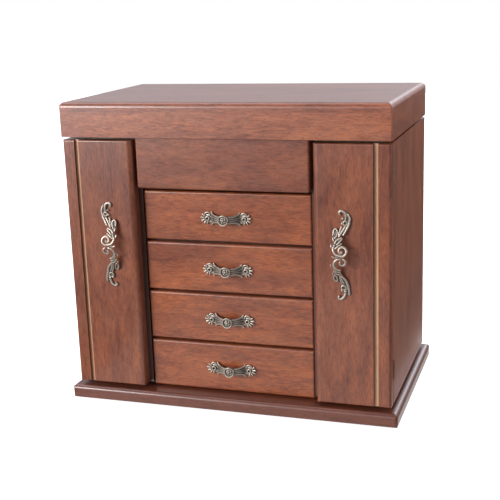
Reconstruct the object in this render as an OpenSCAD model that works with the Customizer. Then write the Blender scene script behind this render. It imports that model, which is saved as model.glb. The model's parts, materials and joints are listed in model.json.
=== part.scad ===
// Wooden jewellery chest: hinged lid with a mirror, lined tray, four drawers
// and two doors with necklace hooks. Millimetres, X to the right, Y to the
// back, Z up. The origin is the centre of the underside of the base.

/* [Base] */
// Width of the base board
base_w = 333.4; // [328:0.2:345]
// Depth of the base board
base_d = 204.2; // [203:0.2:214]
// Thickness of the base board
base_t = 13; // [10:0.5:18]
// Thickness of the felt under the base
felt_t = 1; // [0.6:0.1:2]
// Height of the recessed plinth that lifts the body off the base
plinth_h = 3.6; // [3:0.1:6]
// Radius of the base board's top edges
base_edge_r = 4; // [2:0.5:5]

/* [Body] */
// Width of the body over its side panels
body_w = 319.6; // [317:0.2:324]
// Height of the body
body_h = 247.4; // [247:0.2:252]
// Thickness of the side panels
side_t = 12; // [11:0.5:13]
// Thickness of the back panel
back_t = 9; // [6:0.5:10]
// Thickness of the partitions beside the drawers
partition_t = 8; // [7:0.5:9]

/* [Lid] */
// Width of the lid
lid_w = 321.2; // [319:0.2:325]
// Depth of the lid
lid_d = 193.4; // [193:0.2:194]
// Height of the lid
lid_h = 33.2; // [30:0.2:36]
// Gap between the body and the closed lid
lid_gap = 2.6; // [2.4:0.1:3]
// Thickness of the lid's top panel
lid_panel_t = 9; // [8:0.5:10]
// Thickness of the lid's rails
rail_t = 12; // [11:0.5:13]
// Radius of the lid's top edges
lid_edge_r = 5; // [2:0.5:6]

/* [Doors] */
// Width of each door
door_w = 71.4; // [71:0.2:72]
// Thickness of each door
door_t = 12.5; // [12:0.5:13]
// Width of the inlay groove
groove_w = 4.6; // [3:0.2:6]
// Distance from the door's outer edge to the groove
groove_x = 11.8; // [10:0.2:14]
// Height of the scroll handles
scroll_h = 86; // [86:1:88]

/* [Drawers] */
// Width of the drawer fronts
front_w = 167.4; // [160:0.2:167.6]
// Height of the drawer fronts
front_h = 48.3; // [47:0.1:49]
// Distance from one drawer to the next
drawer_pitch = 50.5; // [50.2:0.1:50.8]
// Thickness of the drawer fronts
front_t = 10; // [8:0.5:12]
// Depth of the drawer boxes behind their fronts
box_d = 156; // [140:1:158]
// Distance between the two rosettes of a pull
pull_span = 36.6; // [32:0.2:40]

/* [Hidden] */
$fn = 48;
DRAWERS = [1, 2, 3, 4];
SIDES = ["left", "right"];

// Colours
MAHOGANY = [0.56, 0.33, 0.24];
DARK_MAHOGANY = [0.43, 0.27, 0.22];
MAPLE = [0.82, 0.65, 0.52];
BIRCH = [0.78, 0.66, 0.50];
CHAMPAGNE = [0.80, 0.72, 0.60];
ANTIQUE = [0.62, 0.57, 0.50];
BRASS = [0.72, 0.60, 0.36];
FELT = [0.20, 0.12, 0.10];

// Clearances between pieces
hair = 0.1;      // glue line between boards
seam = 0.5;      // door to carcass
play = 0.6;      // drawer front to partition
far = 400;       // longer than any piece, for cutting tools

// Heights
base_z = felt_t;
plinth_z = base_z + base_t;
body_z = plinth_z + plinth_h;
body_top = body_z + body_h;
lid_z = body_top + lid_gap;
lid_panel_z = lid_z + lid_h - lid_panel_t;
floor_t = 8;
floor_top = body_z + floor_t;

// Depths, from the front
door_front_y = -base_d / 2 + 5.6;
door_back_y = door_front_y + door_t;
carcass_y = door_back_y + seam;
lid_front_y = door_front_y - 1.3;
lid_back_y = lid_front_y + lid_d;
lid_mid_y = (lid_front_y + lid_back_y) / 2;
body_back_y = lid_back_y - 0.4;
back_y = body_back_y - back_t;

// Widths, from the middle
inner_x = body_w / 2 - side_t;
partition_x = front_w / 2 + play;
compartment_x = partition_x + partition_t;

// Drawers
face_y = carcass_y + 0.2;
box_y = face_y + front_t;
drawer_z = plinth_z + 1.2;
shelf_t = 4;
shelf_y = box_y + 0.4;
box_wall = 6;
box_h = 35.5;
box_x = partition_x - 1.3;
box_floor_t = 3.5;
lining_t = 5;
lining_skin_t = 1;
function front_z(k) = drawer_z + (4 - k) * drawer_pitch;
function shelf_z(k) = front_z(k) - (drawer_pitch - front_h) / 2 - shelf_t / 2;
function box_z(k) = (k == 4 ? floor_top : shelf_z(k) + shelf_t) + 0.5;

// Tray under the lid
tray_floor_t = 6;
tray_z = front_z(1) + front_h + 2.6;
tray_top = tray_z + tray_floor_t;
tray_front_t = 8;
liner_t = 3;
tray_pad_t = 2.5;
liner_y = carcass_y + tray_front_t + hair;
liner_x = inner_x - hair - liner_t;
liner_h = lid_z - 0.4 - tray_top - hair;
divider_h = 34;
divider_x = 52.5;
roll_r = 7.3;
roll_h = 16;
compartment_skin_t = 1.5;

// Fascia board under the lid
fascia_w = 170;
fascia_t = 10.8;
fascia_z = front_z(1) + front_h + 3.7;

// Hinges and catches
pin_r = 0.6;
pin_play = 0.06;
door_axis_x = body_w / 2 - 0.5;
door_axis_y = (door_back_y + carcass_y) / 2;
door_hinge_h = 20;
door_hinge_z = [body_z + 34, body_top - 34];
door_leaf_w = 10.5;
door_leaf_t = 1;
door_barrel_r = 1.3;
door_notch_r = 1.8;
lid_axis_y = lid_back_y + 2;
lid_axis_z = body_top + 1.3;
lid_hinge_w = 36;
lid_hinge_x = [-95, 95];
lid_leaf_h = 17;
lid_leaf_t = 1.2;
lid_barrel_r = 2;
lid_pin_r = 1;
catch_x = 100;
catch_z = body_top - 21;
catch_r = 3;
plate_r = 5;

// Mirror in the lid
surround_t = 5;
surround_z = lid_panel_z - hair - surround_t;
mirror_w = 240;
mirror_d = 120;
mirror_t = 3;
mirror_lip = 3;

// Doors
door_x = body_w / 2 - door_w;
door_z = body_z + 0.2;
door_h = body_h - 0.4;
groove_d = 5;
inlay_t = 2.2;
hook_z = 200;
hook_pitch = 9.5;

// Scroll handles, drawn for the right door about their own centre
scroll_x = 115.8;
scroll_z = 162.8;
scroll_t = 3;
scroll_rise = 8;
scroll_flat = 26;
screw_r = 0.85;
ring_high = [3.4, 31.8];
ring_low = [1.9, -28.5];

// ---------------------------------------------------------------- outlines

// The waste of a square corner at the origin that is rounded to radius r
module corner_cut(r) {
    difference() {
        translate([-1, -1]) square([r + 1, r + 1]);
        translate([r, r]) circle(r);
    }
}

// A rectangle from the origin with the corners at x = 0 and x = w, y = 0 rounded
module nosed_outline(w, t, r_left, r_right) {
    difference() {
        square([w, t]);
        corner_cut(r_left);
        translate([w, 0]) mirror([1, 0]) corner_cut(r_right);
    }
}

// A rectangle standing on y = 0 with its two top and its two bottom corners rounded
module edged_outline(w, h, r_top, r_bottom = 0) {
    difference() {
        translate([-w / 2, 0]) square([w, h]);
        for (m = [0, 1]) mirror([m, 0]) {
            translate([-w / 2, h]) mirror([0, 1]) corner_cut(r_top);
            if (r_bottom > 0) translate([-w / 2, 0]) corner_cut(r_bottom);
        }
    }
}

module rounded_rect(w, d, r) {
    square([w - 2 * r, d], center = true);
    square([w, d - 2 * r], center = true);
    for (x = [-1, 1], y = [-1, 1])
        translate([x * (w / 2 - r), y * (d / 2 - r)]) circle(r);
}

// A pointed leaf along y, made of two arcs
module leaf(length, width) {
    r = (length * length + width * width) / (4 * width);
    intersection() {
        translate([r - width / 2, 0]) circle(r);
        translate([width / 2 - r, 0]) circle(r);
    }
}

// A leaf whose tips lie at two points
module leaf_between(a, b, width) {
    run = b - a;
    translate((a + b) / 2) rotate(atan2(run[1], run[0]) - 90) leaf(norm(run), width);
}

// A ring with a gap between two angles, given anticlockwise
module curl(at, r, width, gap_from, gap_to) {
    reach = 2 * r;
    gap_mid = (gap_from + gap_to) / 2;
    translate(at) difference() {
        circle(r + width / 2);
        circle(r - width / 2);
        polygon([[0, 0], for (a = [gap_from, gap_mid, gap_to]) reach * [cos(a), sin(a)]]);
    }
}

// ------------------------------------------------------------------ boards

// A board from the origin, w wide, t deep and h high, with its front edges
// rounded: r = [left, right, bottom, top]
module front_board(w, t, h, r) {
    intersection() {
        linear_extrude(h) nosed_outline(w, t, r[0], r[1]);
        rotate([90, 0, 90]) linear_extrude(w) difference() {
            square([t, h]);
            corner_cut(r[2]);
            translate([0, h]) mirror([0, 1]) corner_cut(r[3]);
        }
    }
}

// A slab centred on the origin with its upright, top and bottom edges rounded
module soft_slab(w, d, h, r_plan, r_top, r_bottom = 0) {
    intersection() {
        linear_extrude(h) rounded_rect(w, d, r_plan);
        rotate([90, 0, 0]) translate([0, 0, -d / 2]) linear_extrude(d)
            edged_outline(w, h, r_top, r_bottom);
        rotate([90, 0, 90]) translate([0, 0, -w / 2]) linear_extrude(w)
            edged_outline(d, h, r_top, r_bottom);
    }
}

// A box given by two opposite corners
module block(low, high) {
    translate(low) cube(high - low);
}

// A rod along y
module rod_y(r, from_y, to_y) {
    translate([0, from_y, 0]) rotate([-90, 0, 0]) cylinder(r = r, h = to_y - from_y);
}

// Draws its children on the right, or mirrored on the left
module on_side(side) {
    mirror([side == "left" ? 1 : 0, 0, 0]) children();
}

// -------------------------------------------------------------------- base

module base_board() {
    color(DARK_MAHOGANY) translate([0, 0, base_z])
        soft_slab(base_w, base_d, base_t, 3, base_edge_r, 1.5);
}

module base_felt() {
    inset = 4;
    color(FELT) linear_extrude(felt_t)
        rounded_rect(base_w - 2 * inset, base_d - 2 * inset, 3);
}

module plinth_frame() {
    inset = 14;
    wall = 20;
    w = body_w - 2 * inset;
    y0 = shelf_y + 2;
    y1 = body_back_y - inset;
    color(DARK_MAHOGANY) difference() {
        block([-w / 2, y0, plinth_z], [w / 2, y1, body_z]);
        block([-w / 2 + wall, y0 + wall, plinth_z - 1], [w / 2 - wall, y1 - wall, body_z + 1]);
    }
}

// -------------------------------------------------------------------- body

module body_floor() {
    color(BIRCH) difference() {
        block([-inner_x, carcass_y, body_z], [inner_x, back_y, floor_top]);
        block([-partition_x, carcass_y - 1, body_z - 1], [partition_x, shelf_y, floor_top + 1]);
    }
}

// The hollow that a door hinge needs around its barrel and leaf
module door_hinge_pocket(leaf_y0, leaf_y1) {
    half = door_hinge_h / 2 + 0.2;
    for (z = door_hinge_z) translate([0, 0, z]) {
        translate([door_axis_x, door_axis_y, -half]) cylinder(r = door_notch_r, h = 2 * half);
        block([door_axis_x - door_leaf_w - 0.2, leaf_y0, -half], [door_axis_x, leaf_y1, half]);
    }
}

module side_panel(side) {
    relief = 1.5;
    color(MAHOGANY) on_side(side) difference() {
        translate([inner_x, carcass_y, body_z])
            front_board(side_t, body_back_y - carcass_y, body_h, [0.3, relief, 0.3, 0.3]);
        door_hinge_pocket(carcass_y - 1, carcass_y + door_leaf_t + 0.2);
    }
}

module back_panel() {
    color(DARK_MAHOGANY) block([-inner_x, back_y, body_z], [inner_x, body_back_y, body_top]);
}

module partition(side) {
    color(MAHOGANY) on_side(side)
        block([partition_x, carcass_y, floor_top], [compartment_x, back_y, tray_z]);
}

module drawer_shelves() {
    color(BIRCH) for (k = [1, 2, 3])
        block([-partition_x, shelf_y, shelf_z(k)], [partition_x, back_y, shelf_z(k) + shelf_t]);
}

module tray_floor() {
    color(MAHOGANY) block([-inner_x, carcass_y, tray_z], [inner_x, back_y, tray_top]);
}

module tray_front_board() {
    color(MAHOGANY) difference() {
        block([-inner_x, carcass_y, tray_top], [inner_x, carcass_y + tray_front_t, body_top]);
        for (x = [-catch_x, catch_x])
            translate([x, 0, catch_z]) rod_y(catch_r, carcass_y - 1, carcass_y + 6);
    }
}

module fascia_board() {
    h = lid_z - 0.3 - fascia_z;
    corner_r = 4;
    color(MAHOGANY) intersection() {
        translate([-fascia_w / 2, carcass_y - fascia_t, fascia_z])
            front_board(fascia_w, fascia_t, h, [2, 2, 2, 0.5]);
        translate([0, carcass_y + 1, lid_z - 0.3]) rotate([90, 0, 0]) mirror([0, 1, 0])
            linear_extrude(fascia_t + 2) edged_outline(fascia_w, h, corner_r);
    }
}

// -------------------------------------------------------------------- tray

// Upright lined strips round and across the tray, with a pad on the floor of each cell
module tray_liner() {
    y1 = back_y - hair;
    z0 = tray_top + hair;
    mid_y = (liner_y + y1) / 2;
    cell_y0 = liner_y + liner_t + hair;
    cell_y1 = y1 - liner_t - hair;
    side_cell = (cell_y1 - cell_y0) / 3;
    edge = 0.3;
    color(CHAMPAGNE) {
        for (m = [0, 1]) mirror([m, 0, 0]) {
            block([liner_x, liner_y, z0], [liner_x + liner_t, y1, z0 + liner_h]);
            block([divider_x, cell_y0, z0], [divider_x + liner_t, cell_y1, z0 + divider_h]);
        }
        for (y = [liner_y, y1 - liner_t])
            block([-liner_x + hair, y, z0], [liner_x - hair, y + liner_t, z0 + liner_h]);
        block([-divider_x + hair, mid_y, z0], [divider_x - hair, mid_y + liner_t, z0 + divider_h]);
        for (t = [1, 2]) translate([0, cell_y0 + t * side_cell, 0])
            block([divider_x + liner_t + hair, 0, z0], [liner_x - hair, liner_t, z0 + divider_h]);
        for (span = [[cell_y0, mid_y], [mid_y + liner_t, cell_y1]])
            block([-divider_x + edge, span[0] + edge, z0],
                  [divider_x - edge, span[1] - edge, z0 + tray_pad_t]);
        for (t = [0, 1, 2]) {
            y = cell_y0 + t * side_cell + (t > 0 ? liner_t : 0);
            block([divider_x + liner_t + edge, y + edge, z0],
                  [liner_x - edge, cell_y0 + (t + 1) * side_cell - edge, z0 + tray_pad_t]);
        }
    }
}

module ring_rolls() {
    count = 9;
    y0 = liner_y + liner_t;
    pitch = (back_y - hair - liner_t - y0) / count;
    x0 = -liner_x + 1;
    x1 = -divider_x - liner_t - 1;
    color(CHAMPAGNE) for (i = [0 : count - 1])
        translate([x0, y0 + (i + 0.5) * pitch, tray_top + hair]) rotate([90, 0, 90])
            linear_extrude(x1 - x0) edged_outline(2 * roll_r, roll_h, roll_r - 0.1);
}

module compartment_linings() {
    x0 = compartment_x + hair;
    x1 = inner_x - hair;
    y0 = carcass_y + 1.5;
    y1 = back_y - hair;
    z0 = floor_top + hair;
    z1 = tray_z - hair;
    s = compartment_skin_t;
    color(CHAMPAGNE) for (m = [0, 1]) mirror([m, 0, 0]) {
        block([x0, y0, z0], [x1, y1, z0 + s]);
        block([x0, y0, z1 - s], [x1, y1, z1]);
        block([x0, y1 - s, z0 + s + hair], [x1, y1, z1 - s - hair]);
        block([x0, y0, z0 + s + hair], [x0 + s, y1 - s - hair, z1 - s - hair]);
        block([x1 - s, y0, z0 + s + hair], [x1, y1 - s - hair, z1 - s - hair]);
    }
}

// ------------------------------------------------------------------ hinges

// The bottom and middle ends of the three knuckles of a hinge of length h
function knuckle_ends(h) = [for (i = [0, 1, 2]) [-h / 2 + i * h / 3 + 0.2, -h / 2 + (i + 1) * h / 3 - 0.2]];

// Knuckles along z, joined to a leaf that lies on the -x side of the pin
module leaf_and_knuckles(h, picks, leaf_y, leaf_t, leaf_w, barrel_r, bore_r) {
    ends = knuckle_ends(h);
    difference() {
        union() {
            block([-leaf_w, leaf_y, -h / 2], [-barrel_r - 0.5, leaf_y + leaf_t, h / 2]);
            for (i = picks) {
                translate([0, 0, ends[i][0]]) cylinder(r = barrel_r, h = ends[i][1] - ends[i][0]);
                block([-barrel_r - 0.6, leaf_y, ends[i][0]], [0, leaf_y + leaf_t, ends[i][1]]);
            }
        }
        translate([0, 0, -h]) cylinder(r = bore_r, h = 2 * h);
    }
}

module door_hinge_leaves(side) {
    color(ANTIQUE) on_side(side) for (z = door_hinge_z)
        translate([door_axis_x, door_axis_y, z])
            leaf_and_knuckles(door_hinge_h, [1], -seam / 2 - door_leaf_t, door_leaf_t,
                door_leaf_w, door_barrel_r, pin_r + pin_play);
}

module door_hinge_body_leaves() {
    color(ANTIQUE) for (side = SIDES) on_side(side) for (z = door_hinge_z)
        translate([door_axis_x, door_axis_y, z])
            leaf_and_knuckles(door_hinge_h, [0, 2], seam / 2, door_leaf_t,
                door_leaf_w, door_barrel_r, pin_r);
}

// Turns a hinge drawn along z so that its pin lies along x; its leaf hangs down
// when up = -1 and stands up when up = 1
module along_x(up) {
    translate([0, lid_axis_y, lid_axis_z]) rotate([0, up > 0 ? 90 : -90, 0]) children();
}

module lid_hinge_lid_leaves() {
    color(BRASS) for (x = lid_hinge_x) translate([x, 0, 0]) along_x(1)
        leaf_and_knuckles(lid_hinge_w, [1], -lid_axis_y + lid_back_y + 0.02, lid_leaf_t,
            lid_leaf_h + 2, lid_barrel_r, lid_pin_r + pin_play);
}

module lid_hinge_body_leaves() {
    color(BRASS) for (x = lid_hinge_x) translate([x, 0, 0]) along_x(-1)
        leaf_and_knuckles(lid_hinge_w, [0, 2], -lid_axis_y + body_back_y + 0.02, lid_leaf_t,
            lid_leaf_h + 2, lid_barrel_r, lid_pin_r);
}

module hinge_pins() {
    color(BRASS) {
        for (x = lid_hinge_x) translate([x, 0, 0]) along_x(1)
            translate([0, 0, -lid_hinge_w / 2]) cylinder(r = lid_pin_r, h = lid_hinge_w);
        for (m = [0, 1], z = door_hinge_z) mirror([m, 0, 0])
            translate([door_axis_x, door_axis_y, z - door_hinge_h / 2])
                cylinder(r = pin_r, h = door_hinge_h);
    }
}

module magnet_catches() {
    color("silver") for (x = [-catch_x, catch_x])
        translate([x, 0, catch_z]) rod_y(catch_r, carcass_y, carcass_y + 6);
}

// --------------------------------------------------------------------- lid

// The four mitred rails as seen from above: a square frame cut by diagonals
module rail_outline(y_side) {
    w = lid_w / 2;
    d = lid_d / 2;
    polygon([[-w, y_side * d], [w, y_side * d],
             [w - rail_t, y_side * (d - rail_t)], [-w + rail_t, y_side * (d - rail_t)]]);
}

module side_rail_outline() {
    w = lid_w / 2;
    d = lid_d / 2;
    polygon([[w, -d], [w, d], [w - rail_t, d - rail_t], [w - rail_t, -d + rail_t]]);
}

// Keeps the upright corners of the lid slightly rounded
module lid_rails() {
    color(MAHOGANY) translate([0, lid_mid_y, lid_z]) linear_extrude(lid_h - lid_panel_t)
        intersection() {
            rounded_rect(lid_w, lid_d, 1.5);
            children();
        }
}

module lid_front_rail() { lid_rails() rail_outline(-1); }

module lid_back_rail() { lid_rails() rail_outline(1); }

module lid_side_rails() {
    for (m = [0, 1]) mirror([m, 0, 0]) lid_rails() side_rail_outline();
}

module lid_top_panel() {
    color(MAHOGANY) translate([0, lid_mid_y, lid_panel_z])
        soft_slab(lid_w, lid_d, lid_panel_t, 1.5, lid_edge_r);
}

module mirror_surround() {
    w = lid_w / 2 - rail_t - hair;
    d = lid_d / 2 - rail_t - hair;
    pocket = surround_z + surround_t - mirror_t - 0.2;
    color(CHAMPAGNE) translate([0, lid_mid_y, 0]) difference() {
        block([-w, -d, surround_z], [w, d, surround_z + surround_t]);
        block([-mirror_w / 2 - 0.3, -mirror_d / 2 - 0.3, pocket],
              [mirror_w / 2 + 0.3, mirror_d / 2 + 0.3, lid_panel_z + 1]);
        block([-mirror_w / 2 + mirror_lip, -mirror_d / 2 + mirror_lip, surround_z - 1],
              [mirror_w / 2 - mirror_lip, mirror_d / 2 - mirror_lip, lid_panel_z + 1]);
    }
}

module lid_mirror() {
    z = surround_z + surround_t - mirror_t - 0.1;
    color("lightcyan") translate([0, lid_mid_y, 0])
        block([-mirror_w / 2, -mirror_d / 2, z], [mirror_w / 2, mirror_d / 2, z + mirror_t]);
}

// ------------------------------------------------------------------- doors

module door_panel(side) {
    x1 = body_w / 2;
    color(MAHOGANY) on_side(side) difference() {
        intersection() {
            translate([door_x, door_front_y, door_z])
                front_board(door_w, door_t, door_h, [4.5, 2.2, 1.5, 1.5]);
            translate([x1, door_back_y, door_z]) mirror([1, 0, 0]) mirror([0, 1, 0])
                linear_extrude(door_h) nosed_outline(door_w, door_t, 1.2, 0.3);
        }
        translate([x1 - groove_x - groove_w, door_front_y - 1, 0])
            cube([groove_w, groove_d + 1, far]);
        door_hinge_pocket(door_back_y - door_leaf_t - 0.2, door_back_y + 1);
        translate([catch_x, 0, catch_z]) rod_y(plate_r + hair, door_back_y - 1.1, door_back_y + 1);
        for (ring = [ring_high, ring_low])
            translate([scroll_x + ring[0], 0, scroll_z + ring[1]])
                rod_y(screw_r, door_front_y - 1, door_front_y + 7);
    }
}

module inlay_strip(side) {
    x1 = body_w / 2 - groove_x;
    color(MAPLE) on_side(side)
        block([x1 - groove_w, door_front_y + groove_d - inlay_t, door_z],
              [x1, door_front_y + groove_d, door_z + door_h]);
}

// Scrolls and leaves of a handle, seen from the front, about its centre
module scroll_outline() {
    volute_r = 4.2;
    bar = 2.2;
    // upper hook, its ring and the stem that joins them
    curl([1.2, 38.8], 3.6, 2.6, 170, 265);
    leaf_between([5.6, 42], [5.4, 25], 5);
    translate(ring_high) circle(3.5);
    // leaves between the upper ring and the first volute
    leaf_between([4.4, 31], [-4.5, 9], 6);
    leaf_between([-4, 25], [-5.4, 8], 6);
    leaf_between([2.2, 20], [-6.5, 6], 5.5);
    leaf_between([-6.2, 14], [-2, 0.5], 5);
    // the two volutes, turned back to back
    curl([1.8, 5.6], volute_r, bar, 75, 150);
    translate([1.8, 5.6]) circle(1.9);
    leaf_between([1.2, 4.8], [5.4, 9.2], 2.2);
    curl([1.6, -6.2], volute_r, bar, 280, 345);
    translate([1.6, -6.2]) circle(1.8);
    leaf_between([1.2, -6.4], [6.4, -5.2], 2.2);
    translate([-1.8, -0.3]) circle(2.6);
    leaf_between([-3.4, 4.5], [-3.4, -5.5], 4);
    // leaves between the second volute and the lower ring
    leaf_between([-4, -2], [-4, -20], 6);
    leaf_between([-3.8, -11], [2.2, -28], 6);
    leaf_between([1.4, -15], [5.4, -31], 5);
    translate(ring_low) circle(3.3);
    // lower stem and hook
    leaf_between([5.2, -25], [1.2, -42], 4.5);
    curl([-0.6, -38.4], 3, 2.4, 60, 150);
}

// The bowed side view of a handle, front towards -x: flat ends and a raised middle
module scroll_side_view() {
    mid_y = -scroll_t / 2;
    r = (scroll_flat * scroll_flat + scroll_rise * scroll_rise) / (2 * scroll_rise);
    end = scroll_h / 2 - scroll_flat + 2;
    intersection() {
        translate([r + mid_y - scroll_rise, 0]) difference() {
            circle(r + scroll_t / 2);
            circle(r - scroll_t / 2);
        }
        translate([-scroll_rise - scroll_t, -scroll_flat])
            square([scroll_rise + scroll_t, 2 * scroll_flat]);
    }
    for (m = [0, 1]) mirror([0, m])
        translate([-scroll_t, scroll_flat - 1.5]) square([scroll_t, end]);
}

module scroll_handle(side) {
    color(ANTIQUE) on_side(side) translate([scroll_x, door_front_y, scroll_z]) difference() {
        intersection() {
            rotate([90, 0, 0]) linear_extrude(far / 10) scroll_outline();
            rotate([90, 0, 90]) translate([0, 0, -20]) linear_extrude(40) scroll_side_view();
        }
        for (ring = [ring_high, ring_low])
            translate([ring[0], 0, ring[1]]) rod_y(screw_r, -scroll_rise - scroll_t, 1);
    }
}

module handle_screws(side) {
    color(ANTIQUE) on_side(side) for (ring = [ring_high, ring_low])
        translate([scroll_x + ring[0], door_front_y, scroll_z + ring[1]]) {
            rod_y(screw_r, -5, 6.5);
            rod_y(1.5, -5.6, -4.9);
        }
}

module strike_plate(side) {
    color("silver") on_side(side)
        translate([catch_x, 0, catch_z]) rod_y(plate_r, door_back_y - 1, door_back_y);
}

module necklace_hooks(side) {
    wire_r = 1.1;
    reach = 8;
    tip = 6;
    x0 = 98;
    x1 = 144;
    color(BRASS) on_side(side) {
        block([x0, door_back_y, hook_z - 4], [x1, door_back_y + 1.2, hook_z + 4]);
        for (i = [-2 : 2]) translate([(x0 + x1) / 2 + i * hook_pitch, door_back_y, hook_z]) {
            rod_y(wire_r, 0.5, reach);
            translate([0, reach, 0]) sphere(wire_r);
            translate([0, reach, 0]) cylinder(r = wire_r, h = tip);
            translate([0, reach, tip]) sphere(wire_r + 0.4);
        }
    }
}

module velvet_pocket(side) {
    x0 = 99;
    w = 44;
    t = 13;
    h = 66;
    color(CHAMPAGNE) on_side(side) translate([x0 + w, door_back_y + t + hair, 32])
        mirror([1, 0, 0]) mirror([0, 1, 0]) front_board(w, t, h, [5, 5, 5, 2]);
}

// ----------------------------------------------------------------- drawers

module drawer_front(k) {
    r = 2;
    color(MAHOGANY) translate([-front_w / 2, face_y, front_z(k)])
        front_board(front_w, front_t, front_h, [r, r, r, r]);
}

module drawer_box(k) {
    z0 = box_z(k);
    y1 = box_y + box_d;
    in_x = box_x - box_wall - hair;
    color(BIRCH) {
        for (m = [0, 1]) mirror([m, 0, 0])
            block([box_x - box_wall, box_y, z0], [box_x, y1, z0 + box_h]);
        block([-in_x, y1 - box_wall, z0], [in_x, y1, z0 + box_h]);
        block([-in_x, box_y, z0], [in_x, y1 - box_wall - hair, z0 + box_floor_t]);
    }
}

// A pad on the drawer's floor and a thin skin on each of its four walls
module drawer_lining(k) {
    x = box_x - box_wall - 0.8;
    z0 = box_z(k) + box_floor_t + hair;
    y1 = box_y + box_d - box_wall - 0.9;
    s = lining_skin_t;
    skin_x = box_x - box_wall - hair;
    skin_y0 = box_y + hair;
    skin_y1 = box_y + box_d - box_wall - hair;
    skin_z0 = z0 + lining_t + hair;
    skin_z1 = box_z(k) + box_h - 1.5;
    color(CHAMPAGNE) {
        block([-x, box_y + 0.8, z0], [x, y1, z0 + lining_t]);
        for (m = [0, 1]) mirror([m, 0, 0])
            block([skin_x - s, skin_y0 + s + hair, skin_z0], [skin_x, skin_y1 - s - hair, skin_z1]);
        for (y = [skin_y0, skin_y1 - s])
            block([-skin_x, y, skin_z0], [skin_x, y + s, skin_z1]);
    }
}

// A bow pull: two rosettes with fingers, a bowed strap and a round medallion
module pull() {
    half = pull_span / 2;
    rosette_r = 5.3;
    strap_h = 7;
    strap_t = 2;
    rise = 7.6;
    strap_half = half - 2;
    bow_r = (strap_half * strap_half + rise * rise) / (2 * rise);
    for (m = [0, 1]) mirror([m, 0, 0]) translate([half, 0, 0]) {
        rod_y(rosette_r, -3, 0);
        rod_y(2.6, -4.2, -2.9);
        for (a = [-56 : 28 : 56]) rotate([0, a, 0]) translate([6.5, 0, 0]) {
            rod_y(1.3, -2.4, 0);
            translate([-3, -2.2, -0.7]) cube([3, 2.2, 1.4]);
        }
    }
    intersection() {
        translate([0, bow_r - rise - strap_t / 2 - 1.4, -strap_h / 2]) difference() {
            cylinder(r = bow_r + strap_t / 2, h = strap_h);
            translate([0, 0, -1]) cylinder(r = bow_r - strap_t / 2, h = strap_h + 2);
        }
        block([-strap_half - 1, -20, -strap_h], [strap_half + 1, -0.5, strap_h]);
    }
    difference() {
        rod_y(5.2, -rise - 4.4, -rise - 1.6);
        rod_y(4.1, -rise - 5, -rise - 3.6);
    }
}

module drawer_pull(k) {
    drop = 1;
    color(ANTIQUE) translate([0, face_y, front_z(k) + front_h / 2 - drop]) pull();
}

// ---------------------------------------------------------------- the parts

base_board();
base_felt();
plinth_frame();
body_floor();
back_panel();
drawer_shelves();
tray_floor();
tray_front_board();
fascia_board();
tray_liner();
ring_rolls();
compartment_linings();
lid_hinge_body_leaves();
door_hinge_body_leaves();
hinge_pins();
magnet_catches();
lid_top_panel();
lid_front_rail();
lid_back_rail();
lid_side_rails();
lid_mirror();
mirror_surround();
lid_hinge_lid_leaves();
for (s = SIDES) {
    side_panel(s);
    partition(s);
    door_panel(s);
    inlay_strip(s);
    scroll_handle(s);
    handle_screws(s);
    door_hinge_leaves(s);
    strike_plate(s);
    necklace_hooks(s);
    velvet_pocket(s);
}
for (k = DRAWERS) {
    drawer_front(k);
    drawer_box(k);
    drawer_lining(k);
    drawer_pull(k);
}
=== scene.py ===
"""Looks of the wooden jewellery chest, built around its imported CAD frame.

Sizes and places come from the frame. Lengths are in metres, except in the cast
handles and pulls, which are drawn in millimetres.
"""

import json
import math
import random

import bmesh
import bpy
import numpy as np
from mathutils import Matrix, Vector, noise


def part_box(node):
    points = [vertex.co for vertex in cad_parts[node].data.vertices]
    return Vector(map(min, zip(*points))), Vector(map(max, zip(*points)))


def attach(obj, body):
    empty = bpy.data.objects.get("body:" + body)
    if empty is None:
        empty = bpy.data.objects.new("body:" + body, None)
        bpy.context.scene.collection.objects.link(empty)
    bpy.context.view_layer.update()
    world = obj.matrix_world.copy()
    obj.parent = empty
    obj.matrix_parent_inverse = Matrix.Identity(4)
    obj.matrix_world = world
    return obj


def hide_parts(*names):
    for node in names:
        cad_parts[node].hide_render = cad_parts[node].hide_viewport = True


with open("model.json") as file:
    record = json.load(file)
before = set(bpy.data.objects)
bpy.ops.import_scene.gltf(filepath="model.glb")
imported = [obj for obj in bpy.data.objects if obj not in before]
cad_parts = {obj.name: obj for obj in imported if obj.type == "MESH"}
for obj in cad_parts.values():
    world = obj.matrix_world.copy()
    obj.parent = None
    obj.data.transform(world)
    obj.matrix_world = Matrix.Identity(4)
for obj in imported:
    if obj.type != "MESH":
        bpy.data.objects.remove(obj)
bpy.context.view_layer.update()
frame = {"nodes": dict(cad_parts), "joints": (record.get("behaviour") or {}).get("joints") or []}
NODES = frame["nodes"]

MM = 0.001
SIDES = ("left", "right")
DRAWERS = (1, 2, 3, 4)


# ------------------------------------------------------------------- meshes


def new_object(name, verts, faces, smooth=True):
    """A linked mesh object made from plain lists."""
    mesh = bpy.data.meshes.new(name)
    mesh.from_pydata([tuple(v) for v in verts], [], [tuple(f) for f in faces])
    mesh.validate()
    obj = bpy.data.objects.new(name, mesh)
    bpy.context.scene.collection.objects.link(obj)
    mesh.polygons.foreach_set("use_smooth", [smooth] * len(mesh.polygons))
    return obj


def quads(rows, columns, start=0):
    """Faces between the rows of a grid of points, each row a number of columns long."""
    return [(k, k + 1, k + columns + 1, k + columns)
            for i in range(rows - 1) for k in range(start + i * columns,
                                                    start + (i + 1) * columns - 1)]


def hoops(count, sides, start=0):
    """Faces between closed rings of points, each ring a number of points round."""
    return [(start + i * sides + j, start + i * sides + (j + 1) % sides,
             start + (i + 1) * sides + (j + 1) % sides, start + (i + 1) * sides + j)
            for i in range(count - 1) for j in range(sides)]


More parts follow.
